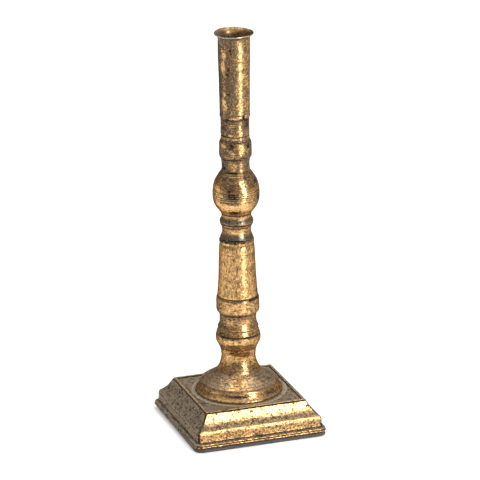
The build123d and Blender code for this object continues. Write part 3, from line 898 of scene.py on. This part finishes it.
neck = {
    "node": "neck_spool", "slot": "stem_brass", "finish": "socketBrass", "seed": 91, "seam": (0.9, 0.5),
    "pitCount": 130,
    "side": [
        [
            (0.02, 12.75), (0.3, 12.75), (1.4, 11.95), (3.4, 11.3), (5.2, 11.2), (9.1, 11.25),
            (11.4, 11.75), (12.1, 12.0),
        ],
        [(12.25, 11.6)],
    ],
    # the broad tarnish at -80, with the blackening at -84 below, is partly painted shade on the side
    # turned from the lamps
    "tarnishAndShade": [
        (-80, 7, 36, 6, 0.9), (34, 7, 24, 5, 0.6), (-25, 2.0, 60, 0.9, 0.9), (-20, 11, 90, 1, 0.6),
    ],
    "blackenedAndShade": [(-28, 1.8, 24, 0.8, 0.9), (18, 1.6, 14, 0.7, 0.8), (-84, 6, 14, 5, 0.4)],
    # the rubbing at azimuth 4 is partly a painted highlight along the strip lamp's reflection
    "rubbedAndHighlit": [
        (-26, 6.4, 14, 4, 0.9), (-50, 0.7, 24, 0.5, 1.4), (-6, 0.8, 20, 0.5, 1.3), (4, 6, 7, 6, 1.2),
    ],
}

upperBand = {
    "node": "upper_band", "slot": "stem_brass", "finish": "socketBrass",
    "seed": 101, "seam": (1.2, 0.5),
    "pitCount": 120,
    "side": [
        [
            (0.1, 11.9), (0.35, 12.2), (1.1, 12.75), (2.4, 13.05), (6.4, 13.1), (11.4, 13.0),
            (13.2, 12.75), (14.3, 12.3),
        ],
        [(14.7, 11.8)],
    ],
    "grooves": [(2.1, 0.45, 0.12), (3.7, 0.45, 0.1), (5.3, 0.45, 0.12), (7.0, 0.45, 0.08)],
    # the broad tarnish at -95 is partly painted shade on the side turned from the lamps
    "tarnishAndShade": [
        (-35, 11.5, 16, 3, 1.2), (38, 12, 20, 3, 1.2), (-20, 1.2, 70, 0.7, 1.0), (-95, 7, 26, 6, 0.6),
        (44, 6, 10, 3, 0.6),
    ],
    "blackenedAndShade": [(-30, 11.8, 19, 2.8, 0.33), (34, 11.4, 14, 3.4, 0.45), (-20, 0.4, 100, 0.5, 0.8)],
    # the rubbing at azimuth 3 is partly a painted highlight along the strip lamp's reflection
    "rubbedAndHighlit": [
        (-66, 12, 14, 2.4, 1.2), (3, 7, 8, 7, 1.4), (-25, 5, 22, 3, 0.7), (-10, 12.6, 5, 1.6, 0.9),
    ],
}

roughCollar = {
    "node": "rough_collar", "slot": "stem_brass", "finish": "socketBrass", "seed": 111,
    "pitCount": 150, "pitDepth": 1.2,
    "lumps": 2.2, "grain": 2.5,
    "side": [
        [(0.1, 11.5), (0.3, 11.75), (1.4, 11.55), (2.6, 11.5), (8, 11.45), (14, 11.5), (18.5, 11.45)],
        [(18.85, 11.1)],
    ],
    "grooves": [
        (4.4, 0.55, 0.3, 0.3), (10.6, 0.45, 0.18, 0.5), (12.3, 0.5, 0.24, 0.6), (14.0, 0.5, 0.22, 0.7),
        (15.8, 0.5, 0.26, 0.6), (17.3, 0.4, 0.16, 0.4),
    ],
    "dents": [
        (-22, 7.6, 9, 1.2, 0.3), (4, 8.4, 7, 1.0, 0.3), (-48, 9, 8, 1.4, 0.35),
        (-14, 12.5, 8, 0.6, 0.35), (-75, 13, 8, 2, 0.4),
    ],
    # the broad tarnish at -85 is partly painted shade on the side turned from the lamps
    "tarnishAndShade": [
        (-85, 9, 30, 9, 0.7), (38, 14, 20, 4, 0.8), (-20, 18.2, 90, 1, 1.2), (-20, 1.2, 90, 0.9, 0.6),
        (-30, 8, 24, 1.4, 0.6),
    ],
    "blackenedAndShade": [
        (-18, 12.4, 8, 0.6, 1.4), (-20, 4.4, 100, 0.5, 0.7), (-48, 9, 6, 0.9, 0.7), (30, 9, 6, 1, 0.5),
        (-35, 15.8, 10, 0.5, 0.7),
    ],
    # the rubbing at azimuth 3 is partly a painted highlight along the strip lamp's reflection
    "rubbedAndHighlit": [
        (-32, 14.9, 12, 0.8, 1.2), (3, 8, 8, 8, 1.2), (-30, 13.2, 10, 0.6, 1.0), (-22, 6, 24, 0.9, 0.8),
        (-20, 2.6, 40, 0.8, 0.6),
    ],
}


# candle socket

socket = {
    "node": "candle_socket", "slot": "socket_brass", "finish": "socketBrass", "seed": 121,
    "pitCount": 260,
    "lumps": 0.7,
    "side": [
        [(0.1, 11.7), (0.3, 11.95), (1.2, 12.15), (2.4, 12.05)],
        [
            (9, 12.0), (17, 12.2), (25, 12.3), (37, 12.46), (45, 12.7), (52, 12.85), (63, 12.85),
            (66.0, 12.95),
        ],
        [(66.8, 13.5), (67.4, 14.5), (67.9, 15.35)],
        [(68.2, 15.68), (68.8, 15.75), (69.2, 15.45)],
    ],
    "mouth": [
        [(69.2, 15.45), (69.15, 15.1), (68.6, 14.5)],
        [(66.6, 12.7), (64.0, 11.8), (60.5, 11.4), (54, 11.3), (12.5, 11.3)],
        [(12.0, 10.9), (11.6, 9.9)],
    ],
    "hollow": [(11.0, 9.8), (0.1, 9.8)],
    "dents": [
        (19, 1.2, 9, 2.2, 1.2), (26, 3.4, 8, 1.6, 0.9), (-50, 30, 20, 12, 0.12),
        (-40, 2.6, 8, 0.8, 0.25), (-6, 3.2, 8, 0.7, 0.25),
    ],
    # the tall tarnish at -38 and -90 is partly painted shade on the left third of the tube
    "tarnishAndShade": [
        (-38, 30, 26, 48, 0.7), (-90, 32, 30, 46, 0.7), (-24, 56, 18, 10, 0.3), (34, 20, 9, 6, 0.7),
        (40, 42, 9, 8, 0.6), (28, 58, 8, 5, 0.6), (180, 58, 80, 6, 0.7), (-20, 66.6, 140, 1.0, 1.2),
        (-20, 3.2, 90, 0.6, 0.6), (52, 30, 8, 12, 0.5),
    ],
    # the tall blackening at -92 and -86 is partly painted shade on the left third of the tube
    "blackenedAndShade": [
        (18, 1.4, 8, 1.8, 2.0), (25, 3.4, 8, 1.2, 1.8), (-20, 67.0, 140, 0.5, 1.0),
        (-92, 30, 16, 50, 0.45), (-40, 42, 14, 12, 0.2), (-48, 16, 12, 10, 0.2), (-86, 30, 14, 50, 0.2),
    ],
    # the rubbing at azimuth 6 is partly a painted highlight along the strip lamp's reflection
    "rubbedAndHighlit": [
        (6, 32, 8, 36, 1.5), (-60, 30, 8, 34, 0.5), (44, 30, 20, 30, 0.4), (-24, 1.3, 20, 0.9, 1.5),
        (22, 2, 5, 3, 1.2), (-60, 12, 13, 7, 1.0), (-58, 54, 14, 8, 1.0), (-66, 43, 10, 5, 0.8),
        (-56, 24, 10, 5, 0.5), (-20, 68.7, 180, 0.7, 1.3), (175, 67.4, 26, 1.5, 1.3),
        (140, 66.5, 14, 1.5, 0.9),
    ],
    # the silvering along the lip's edge and at -105 round the top of the mouth is partly a painted
    # highlight
    "silveredAndPaintedLight": [(-40, 68.9, 80, 0.8, 1.0), (-105, 66.5, 36, 5, 0.6), (150, 69, 60, 0.5, 0.4)],
    "glazedAndShade": [(42, 26, 20, 24, 0.45)],
}


# each wave is its size, how many there are round the tube, and its turn
mouthShape = {
    "lipFrom": 62,
    "lipTall": 6.5,
    "lipHeights": [(0.2, 2, 0.6), (0.12, 5, 1.2), (0.06, 9, 0)],
    "lipWaver": 0.8,
    "lipDrop": 0.15,
    "lipRadii": [(0.1, 3, 2.1), (0.05, 7, 0)],
    "lipIn": 0.06,
    "tornWaves": [(0.42, 6, 0), (0.3, 13, 0.7), (0.18, 23, 0)],
    "tornTall": 1.1,
}


def waves(angles, listed):
    return sum(size * np.sin(count * angles + turn) for size, count, turn in listed)


def shapeMouth(heights, radii, azimuths, shown, outer):
    # a thin lip, hammered out of true, over a foot that was never trimmed
    m = mouthShape
    a = np.radians(azimuths)
    lip = np.clip((heights - m["lipFrom"]) / m["lipTall"], 0, 1) ** 1.5
    lip[shown:] = 0
    heights += lip * (waves(a, m["lipHeights"]) * m["lipWaver"] - m["lipDrop"])
    radii -= lip * (m["lipIn"] + waves(a, m["lipRadii"]))
    torn = np.exp(-np.clip(heights, 0, None) / m["tornTall"])
    torn[outer:] = 0
    heights += torn * waves(a, m["tornWaves"])


socket["shape"] = shapeMouth

turnedPieces = {
    "footCone": foot, "twinRing": twinRing, "waistSpool": spool, "columnBand": columnBand,
    "taperedColumn": column, "coveCollar": coveCollar, "beadRing": beadRing, "ballKnop": ballKnop,
    "neckSpool": neck, "upperBand": upperBand, "roughCollar": roughCollar, "candleSocket": socket,
}
for name, spec in turnedPieces.items():
    turnPiece(name, spec)
print("turned pieces made")


# square base

baseShape = {
    "node": "base_shell", "slot": "base_brass", "seed": 201,
    "alongSide": 210,       # points along each side
    "atCorner": 7,
    "step": 0.5,
    "lumps": 0.10,
    "grain": 0.035,
    "waver": 0.12,
    "pitCount": 900,
    "pitSizes": (0.5, 1.3),
    "pitDepths": (0.05, 0.2),
    "pitTarnish": 4,
    "limit": 55.98,         # nothing stands out past this half width
    "mitreFrom": 4,
    "mitreWide": 1.25,
    # each run: height, half width, corner radius, and 1 where the outline is round
    "side": [
        [
            (0.05, 55.3, 5.4, 0), (0.25, 55.75, 5.8, 0), (0.8, 55.92, 6, 0), (1.3, 55.8, 5.9, 0),
            (1.6, 55.3, 5.4, 0),
        ],
        [
            (1.65, 54.9, 5.0, 0), (1.9, 55.35, 5.4, 0), (2.3, 55.5, 5.5, 0), (2.8, 55.3, 5.3, 0),
            (3.05, 54.8, 4.9, 0),
        ],
        [(3.35, 53.6, 3.4, 0), (3.75, 52.5, 1.6, 0)],
        [(4.3, 52.3, 1.1, 0), (9.3, 52.15, 1.0, 0)],
        [(10.8, 51.95, 1, 0), (12.0, 51.4, 1, 0), (12.7, 50.7, 1, 0)],
        [
            (14.5, 48.8, 1, 0), (16.5, 47.0, 1, 0), (19.5, 44.9, 1, 0), (21.5, 43.8, 1, 0),
            (23.7, 42.7, 1, 0),
        ],
        [(23.75, 42.2, 0.9, 0)],
        [(24.6, 42.1, 0.9, 0), (24.9, 41.7, 0.9, 0)],
        [(24.95, 39.9, 0.8, 0)],
        [(24.75, 39.6, 0.8, 0), (24.1, 39.45, 0.8, 0)],
        [(24.1, 38.95, 0.8, 1)],
        [(24.45, 38.8, 1, 1), (24.65, 38.4, 1, 1)],
        [(24.68, 34.0, 1, 1)],
    ],
    "inside": [
        (24.7, 32.15, 1, 1), (26.7, 32.15, 1, 1), (26.7, 29.15, 1, 1), (24.7, 29.15, 1, 1),
        (24.7, 4.15, 1, 1), (21.7, 4.15, 1, 1), (21.7, 40.2, 1, 0), (10.3, 48.1, 1, 0),
        (9.5, 50.0, 1, 0), (0.05, 50.0, 1, 0),
    ],
}

# height, spread and strength of each line round the mouldings; the shaded lines and the front cove's
# foot are partly painted shade, the front cove and the edge lines partly painted highlights, and the
# foot line partly a painted shadow above the felt
baseLines = {
    "shadedCoveFoot": (14.0, 0.9, 0.5),
    "shadedFascia": (9.6, 0.4, 1.1),
    "shadedEdgeHighlight": (12.6, 0.5, 0.5),
    "frontCoveFootShade": (14.6, 1.5, 0.5),
    "frontCoveHighlight": (19.8, 3.0, 0.8),
    "frontEdgeHighlight": (12.3, 0.5, 1.1),
    "upperQuirk": (3.7, 0.45, 1.3),
    "lowerQuirk": (1.63, 0.22, 1.0),
    "foot": (0.1, 0.3, 1.2),
}

# heights and distances from the middle of what lies on the plate
plate = {
    "from": 23.8,
    "top": 24.7,
    "sunk": 24.1,           # the floor of the corners round the disc
    "border": 41.0,
    "edge": (23.6, 24.75, 41.9),       # dark from one height to the other, outside this half width
    "innerLine": 39.3,
    "discRim": 38.2,
}


def squareLoops(line, alongSide, atCorner):
    # points round a square with rounded corners, or round a circle, for each row of the line
    half, corner, roundness = line[:, 1, None], line[:, 2, None], line[:, 3, None]
    t = np.linspace(-1, 1, alongSide)[None]
    turn = np.radians(np.linspace(0, 90, atCorner + 2)[1:-1])[None]
    flat = half - corner
    straightX, straightY = flat * t, -half * np.ones_like(t)
    cornerX, cornerY = flat + corner * np.sin(turn), -flat - corner * np.cos(turn)
    x = np.concatenate([straightX, cornerX], axis=1)
    y = np.concatenate([straightY, cornerY], axis=1)
    nx = np.concatenate([0 * straightX, np.sin(turn) + 0 * half], axis=1)
    ny = np.concatenate([0 * straightX - 1, -np.cos(turn) + 0 * half], axis=1)
    angle = np.arctan2(y, x)
    x, y = x + (half * np.cos(angle) - x) * roundness, y + (half * np.sin(angle) - y) * roundness
    nx, ny = nx + (np.cos(angle) - nx) * roundness, ny + (np.sin(angle) - ny) * roundness
    sides = [(x, y, nx, ny)]
    for _ in range(3):
        px, py, pnx, pny = sides[-1]
        sides.append((-py, px, -pny, pnx))
    return [np.concatenate([side[i] for side in sides], axis=1) for i in range(4)]


def makeBase():
    spec, seed = baseShape, baseShape["seed"]
    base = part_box(spec["node"])[0].z / mm
    outside = sideLine(spec["side"], spec["step"])
    shown = len(outside)
    line = np.vstack([outside, np.array(spec["inside"], float)])
    x, y, nx, ny = squareLoops(line, spec["alongSide"], spec["atCorner"])
    z = np.repeat(line[:, :1] + base, x.shape[1], axis=1)
    rings = np.stack([x, y, z], axis=-1)
    show = rings[:shown]
    away = spec["lumps"] * softNoise(show, 6, seed) + spec["grain"] * softNoise(show, 1.4, seed + 1)
    away += spec["waver"] * softNoise(show, 30, seed + 2)
    wear = np.zeros((*rings.shape[:2], 4))
    tarnishAndShade, rubbedAndHighlit, glazedAndShade, silveredAndPaintedLight = (wear[:shown, :, channel] for channel in range(4))
    dice = random.Random(seed)
    for _ in range(spec["pitCount"]):
        ring, column = dice.randrange(8, shown - 6), dice.randrange(rings.shape[1])
        size = dice.uniform(*spec["pitSizes"])
        deep = dice.uniform(*spec["pitDepths"])
        rows = slice(max(0, ring - 7), min(shown, ring + 8))
        gap = np.linalg.norm(show[rows] - show[ring, column], axis=-1) / size
        hole = np.exp(-gap ** 2)
        away[rows] -= deep * hole
        tarnishAndShade[rows] += hole * deep * spec["pitTarnish"]
    flat = np.clip((outside[:, 0] - 24.05) * 8, 0, 1)       # the top stays flatter than the mouldings
    away *= (1 - 0.6 * flat)[:, None]
    h, half = line[:shown, 0, None], line[:shown, 1, None]
    square = 1 - line[:shown, 3, None]
    below = square * (h < 23.9)
    # the front, facing the lamps, is kept bright as painted light; every other side gets painted shade
    litFront = np.clip((-ny[:shown] - 0.5) * 2, 0, 1)
    paintedShadeSides = (1 - litFront) * below
    patchy = softNoise(show, 9, seed + 3)

    def lineOf(key):
        at, spread, strength = baseLines[key]
        return strength * ridge(h, at, spread)

    # painted shade on the sides turned from the light, as a grey film, silver and tarnish with dark
    # lines, partly real film; on the front painted highlights along the cove and the edge, and a dark
    # line of painted shade at the cove's foot; tarnish in the quirks and where the corners meet
    glazedAndShade += paintedShadeSides * (0.85 + 0.15 * patchy)
    silveredAndPaintedLight += paintedShadeSides * np.clip(0.15 + 0.4 * softNoise(show, 2.6, seed + 4), 0, 1)
    tarnishAndShade += paintedShadeSides * (0.3 + 0.3 * patchy + lineOf("shadedCoveFoot") + lineOf("shadedFascia"))
    tarnishAndShade += paintedShadeSides * 2.3 * np.clip(softNoise(show, 1.15, seed + 6) - 0.2, 0, 1)
    rubbedAndHighlit += paintedShadeSides * lineOf("shadedEdgeHighlight")
    tarnishAndShade += litFront * below * (lineOf("frontCoveFootShade") + 0.25 * np.clip(patchy, 0, 1))
    rubbedAndHighlit += litFront * (lineOf("frontCoveHighlight") + lineOf("frontEdgeHighlight"))
    np.minimum(tarnishAndShade, 1.0, out=tarnishAndShade)
    # tarnish in the quirks, and a dark line along the foot that is partly a painted shadow in the gap
    # above the felt
    tarnishAndShade += lineOf("upperQuirk") + lineOf("lowerQuirk") + lineOf("foot")
    mitre = ridge(np.abs(np.abs(x[:shown]) - np.abs(y[:shown])), 0, spec["mitreWide"])
    tarnishAndShade += 1.5 * mitre * below * (h > spec["mitreFrom"]) * (0.8 + 0.5 * patchy)
    # the plate: a light border between two dark lines, dark corners, and a light edge round the disc;
    # the light border and the disc's light edge are partly painted highlights, the dark lines and dark
    # corners partly painted shade
    onPlate = h > plate["from"]
    fromMiddle = np.maximum(np.abs(x[:shown]), np.abs(y[:shown]))
    border = np.clip(1.6 - np.abs(fromMiddle - plate["border"]) / 0.6, 0, 1)
    border = border * (h > plate["top"]) * (square > 0.5)
    rubbedAndHighlit += 1.5 * border
    silveredAndPaintedLight += 0.4 * border
    glazedAndShade += 0.55 * onPlate * (1 - border)
    silveredAndPaintedLight += 0.6 * onPlate * (1 - border) * (0.8 + 0.6 * patchy)
    low, high, wide = plate["edge"]
    tarnishAndShade += 1.3 * (h > low) * (h < high) * (half > wide) * square
    tarnishAndShade += 1.1 * onPlate * ridge(fromMiddle, plate["innerLine"], 0.9)
    spandrel = np.clip(line[:shown, 3, None] * 4, 0, 1) * (np.abs(h - plate["sunk"]) < 0.1)
    tarnishAndShade += 0.6 * spandrel * (0.8 + 0.5 * patchy)
    silveredAndPaintedLight *= 1 - 0.85 * spandrel
    silveredAndPaintedLight += 0.8 * ridge(half, plate["discRim"], 0.7) * onPlate * (1 - square)
    outR, outZ = (side[:, None] for side in outwardOf(outside))
    outward = [nx[:shown] * outR, ny[:shown] * outR, np.repeat(outZ, x.shape[1], axis=1)]
    rings[:shown] += away[..., None] * np.stack(outward, axis=-1)
    rings[..., :2] = np.clip(rings[..., :2], -spec["limit"], spec["limit"])
    made = closedMesh("mouldedBase", rings, wear, brass["baseBrass"])
    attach(made, "root")
    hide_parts(spec["node"])


makeBase()
print("base made")

# felt pad under the base

felt = {
    "node": "felt_pad", "slot": "felt", "seed": 301,
    "side": [
        [(0.02, 2, 1, 0), (0.02, 20, 3, 0), (0.02, 40, 5, 0), (0.02, 55.2, 6.4, 0)],
        [
            (0.12, 55.6, 6.7, 0), (0.5, 55.8, 6.9, 0), (2.4, 55.8, 6.9, 0), (2.75, 55.6, 6.7, 0),
            (2.88, 55.1, 6.3, 0),
        ],
        [(2.9, 48, 6, 0), (2.9, 20, 3, 0), (2.9, 2, 1, 0)],
    ],
    "tone": (0.045, 0.040, 0.035),
    "paleTone": (0.125, 0.112, 0.100),
    "step": 0.9,
    "alongSide": 180,
    "atCorner": 8,
    "fuzz": 0.09,
    "fuzzFrom": 54,        # only the edge is fuzzy
    "nick": (6, 1.6, 2.2, 1.2),       # along the front, height, and how wide and tall
    "nickDepth": 0.8,
    "leftInset": 2.4,      # it was stuck on a little askew
}


def makeFeltMaterial():
    made, tree, shader = newMaterial("greyFelt")
    place = objectPlace(tree)
    strands = speckle(tree, place, 1100.0, 6.0, 0.75, (1.0, 1.0, 2.6))
    worn = speckle(tree, place, 90.0, 4.0)
    mixed = plus(tree, times(tree, strands, 0.7), times(tree, worn, 0.3))
    amount = fade(tree, mixed, 0.4, 0.62)
    plug(tree, blendTone(tree, amount, felt["tone"], felt["paleTone"]), shader.inputs["Base Color"])
    shader.inputs["Roughness"].default_value = 0.95
    shader.inputs["Sheen Weight"].default_value = 0.25
    shader.inputs["Sheen Roughness"].default_value = 0.5
    addBump(tree, shader, strands, 0.8, 0.0003)
    return made


def makeFelt():
    seed = felt["seed"]
    line = sideLine(felt["side"], felt["step"])
    x, y, nx, ny = squareLoops(line, felt["alongSide"], felt["atCorner"])
    rings = np.stack([x, y, np.repeat(line[:, :1], x.shape[1], axis=1)], axis=-1)
    outR, outZ = outwardOf(line)
    fuzz = felt["fuzz"] * (softNoise(rings, 1.1, seed) + softNoise(rings, 5, seed + 1))
    fuzz *= np.clip((line[:, 1] - felt["fuzzFrom"]) / 1.2, 0, 1)[:, None]
    rings[..., 0] += fuzz * nx * outR[:, None]
    rings[..., 1] += fuzz * ny * outR[:, None]
    nick = patchWeight(rings[..., 0], rings[..., 2], felt["nick"])
    rings[..., 1] += felt["nickDepth"] * nick * (rings[..., 1] < -felt["fuzzFrom"])
    inset = felt["leftInset"] * (0.65 + 0.35 * rings[..., 1] / 56)
    rings[..., 0] += inset * np.clip((-30 - rings[..., 0]) / 26, 0, 1)
    made = closedMesh("feltPad", rings, np.zeros((*x.shape, 4)), makeFeltMaterial(), capped=True)
    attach(made, "root")
    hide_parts(felt["node"])


makeFelt()
print("felt made")

# fittings inside

fittings = {
    "iron": {
        "dark": (0.045, 0.040, 0.037), "light": (0.16, 0.145, 0.135), "rust": (0.16, 0.06, 0.022),
        "rough": 0.5,
    },
    "screwSteel": {
        "dark": (0.20, 0.19, 0.18), "light": (0.42, 0.41, 0.40), "rust": (0.20, 0.09, 0.04),
        "rough": 0.38,
    },
}

board = {
    "dark": (0.30, 0.19, 0.10),
    "light": (0.47, 0.33, 0.19),
    "pore": (0.14, 0.08, 0.04),
}


def makeIron(name):
    finish = fittings[name]
    made, tree, shader = newMaterial(name)
    place = objectPlace(tree)
    clouds = fade(tree, speckle(tree, place, 500.0, 5.0), 0.4, 0.65)
    colour = blendTone(tree, clouds, finish["dark"], finish["light"])
    rusty = fade(tree, speckle(tree, place, 140.0, 6.0, 0.7), 0.5, 0.62)
    plug(tree, blendTone(tree, rusty, colour, finish["rust"]), shader.inputs["Base Color"])
    plug(tree, minus(tree, 1.0, rusty), shader.inputs["Metallic"])
    plug(tree, plus(tree, times(tree, rusty, 0.35), finish["rough"]), shader.inputs["Roughness"])
    pits = useGroup(tree, castPits, perMetre=900.0, share=0.3)
    addBump(tree, shader, pits["height"], 0.5, 0.0001)
    return made


def makeBoardWood():
    made, tree, shader = newMaterial("boardWood")
    place = objectPlace(tree)
    grain = speckle(tree, place, 60.0, 5.0, 0.6, (0.7, 9.0, 3.0))
    pores = speckle(tree, place, 300.0, 3.0, 0.6, (0.4, 9.0, 3.0))
    colour = blendTone(tree, fade(tree, grain, 0.35, 0.65), board["dark"], board["light"])
    colour = blendTone(tree, fade(tree, pores, 0.55, 0.7, 0.0, 0.6), colour, board["pore"])
    plug(tree, colour, shader.inputs["Base Color"])
    plug(tree, fade(tree, pores, 0.3, 0.7, 0.6, 0.8), shader.inputs["Roughness"])
    addBump(tree, shader, pores, 0.4, 0.0002)
    return made


insideFinishes = {
    "tie_rod": "iron", "rod_washer": "iron", "rod_nut": "iron", "top_nut": "iron",
    "board_screws": "screwSteel", "base_board": "boardWood", "socket_floor": "socketBrass",
}
insideMaterials = {name: makeIron(name) for name in fittings}
insideMaterials.update(brass, boardWood=makeBoardWood())
for node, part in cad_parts.items():
    for start, finish in insideFinishes.items():
        if node.startswith(start):
            for holder in part.material_slots:
                holder.material = insideMaterials[finish]
print("fittings finished")
